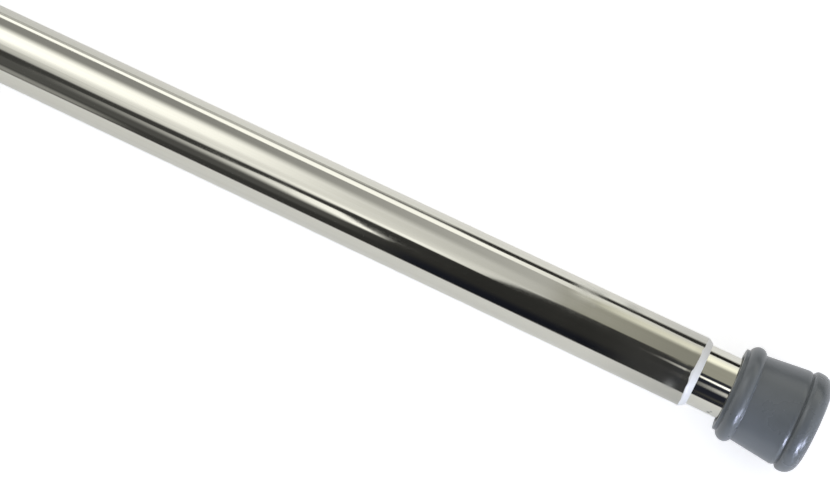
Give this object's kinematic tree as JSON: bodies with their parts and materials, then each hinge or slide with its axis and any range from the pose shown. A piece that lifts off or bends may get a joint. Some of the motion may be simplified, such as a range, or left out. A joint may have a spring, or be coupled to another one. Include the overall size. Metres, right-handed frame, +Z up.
{
  "type": "spring tension rod",
  "caption": "Telescoping spring tension rod of polished steel tube with a white collar, soft grey feet and a sprung twist lock inside, pressed between facing walls.",
  "frame": {"origin": "middle of the wide tube's wall face", "axes": "+X along the rod from the wide tube's foot to the narrow tube's foot, +Z up as it hangs between two walls"},
  "size_m": [0.4081, 0.0342, 0.0342],
  "materials": {
    "polished_tube": "mirror polished stainless steel tube",
    "white_collar": "moulded, satin",
    "grey_foot": "soft glossy PVC",
    "steel_disc": "stamped, zinc plated",
    "plain_steel": "bright zinc plated",
    "spring_steel": "drawn spring wire",
    "nylon": "natural nylon",
    "hub_metal": "die cast"
  },
  "bodies": {
    "wide_tube": {"outer_tube": "polished_tube", "guide_collar": "white_collar", "outer_foot": "grey_foot", "outer_foot_disc": "steel_disc"},
    "narrow_foot": {"inner_foot": "grey_foot", "inner_foot_disc": "steel_disc"},
    "narrow_tube": {"inner_tube": "polished_tube", "spindle_bush": "nylon", "bush_pin_front": "plain_steel", "bush_pin_back": "plain_steel", "bush_seat_washer": "plain_steel", "tension_spring": "spring_steel"},
    "plunger": {"plunger_rod": "plain_steel", "stop_washer": "plain_steel", "stop_nut": "plain_steel", "hub_seat_washer": "plain_steel", "cam_hub": "hub_metal", "hub_pin": "plain_steel", "cam_washer": "plain_steel", "cam_screw": "plain_steel"},
    "cam": {"cam_ring": "nylon"}
  },
  "joints": [
    {"name": "telescope", "type": "slide", "parent": "wide_tube", "child": "narrow_foot", "axis": [1, 0, 0], "range_m": [-0.0091, 0.21]},
    {"name": "twist", "type": "hinge", "parent": "narrow_foot", "child": "narrow_tube", "pos_m": [0.39, 0, 0], "axis": [1, 0, 0], "range_deg": [0, 85]},
    {"name": "spring_stroke", "type": "slide", "parent": "narrow_tube", "child": "plunger", "axis": [1, 0, 0], "range_m": [0, 0.035], "stiffness_N_per_m": 2420, "springref_m": -0.005, "deforming": ["tension_spring"]},
    {"name": "cam_turn", "type": "hinge", "parent": "plunger", "child": "cam", "pos_m": [0.026, 0, 0.0007], "axis": [1, 0, 0], "range_deg": [-85, 0]}
  ],
  "couplings": [
    {"joint": "cam_turn", "follows": "twist", "ratio": -1}
  ]
}
